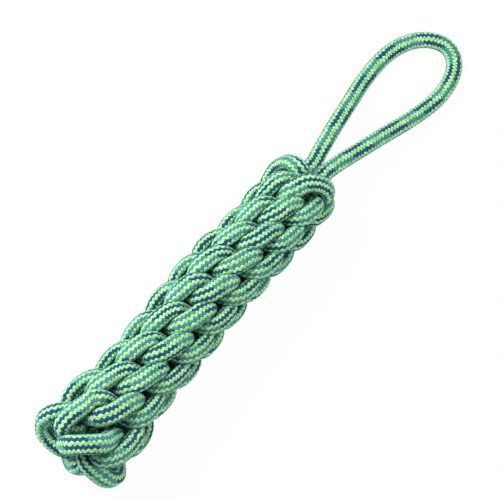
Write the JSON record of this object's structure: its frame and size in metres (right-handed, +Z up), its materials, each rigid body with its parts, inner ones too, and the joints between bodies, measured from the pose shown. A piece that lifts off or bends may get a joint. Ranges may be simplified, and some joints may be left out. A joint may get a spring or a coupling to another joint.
{
  "type": "rope dog toy",
  "caption": "Braided cotton rope dog toy: thick round plait with an arched crown, a wide looped end knot and a teardrop rope handle.",
  "frame": {"origin": "middle of the footprint, on the plane the toy lies on", "axes": "+X along the toy from the end knot to the handle loop, +Y to the left seen from the end knot, +Z up"},
  "size_m": [0.3558, 0.0698, 0.0599],
  "materials": {
    "plait_rope": "braided rope sheath, lime stripes between navy and teal ones",
    "handle_rope": "the same braided rope sheath, drawn straight"
  },
  "bodies": {
    "plait": {"arched_strand_1": "plait_rope", "arched_strand_2": "plait_rope", "arched_strand_3": "plait_rope", "arched_strand_4": "plait_rope", "tucked_strand_1": "plait_rope", "tucked_strand_2": "plait_rope", "tucked_strand_3": "plait_rope", "tucked_strand_4": "plait_rope", "left_leg": "handle_rope", "right_leg": "handle_rope"},
    "handle": {"handle_loop": "handle_rope"}
  },
  "joints": [
    {"name": "handle_bend", "type": "hinge", "parent": "plait", "child": "handle", "pos_m": [0.05841, -0.00033, 0.021], "axis": [0, 1, 0], "range_deg": [-75, 60]}
  ]
}
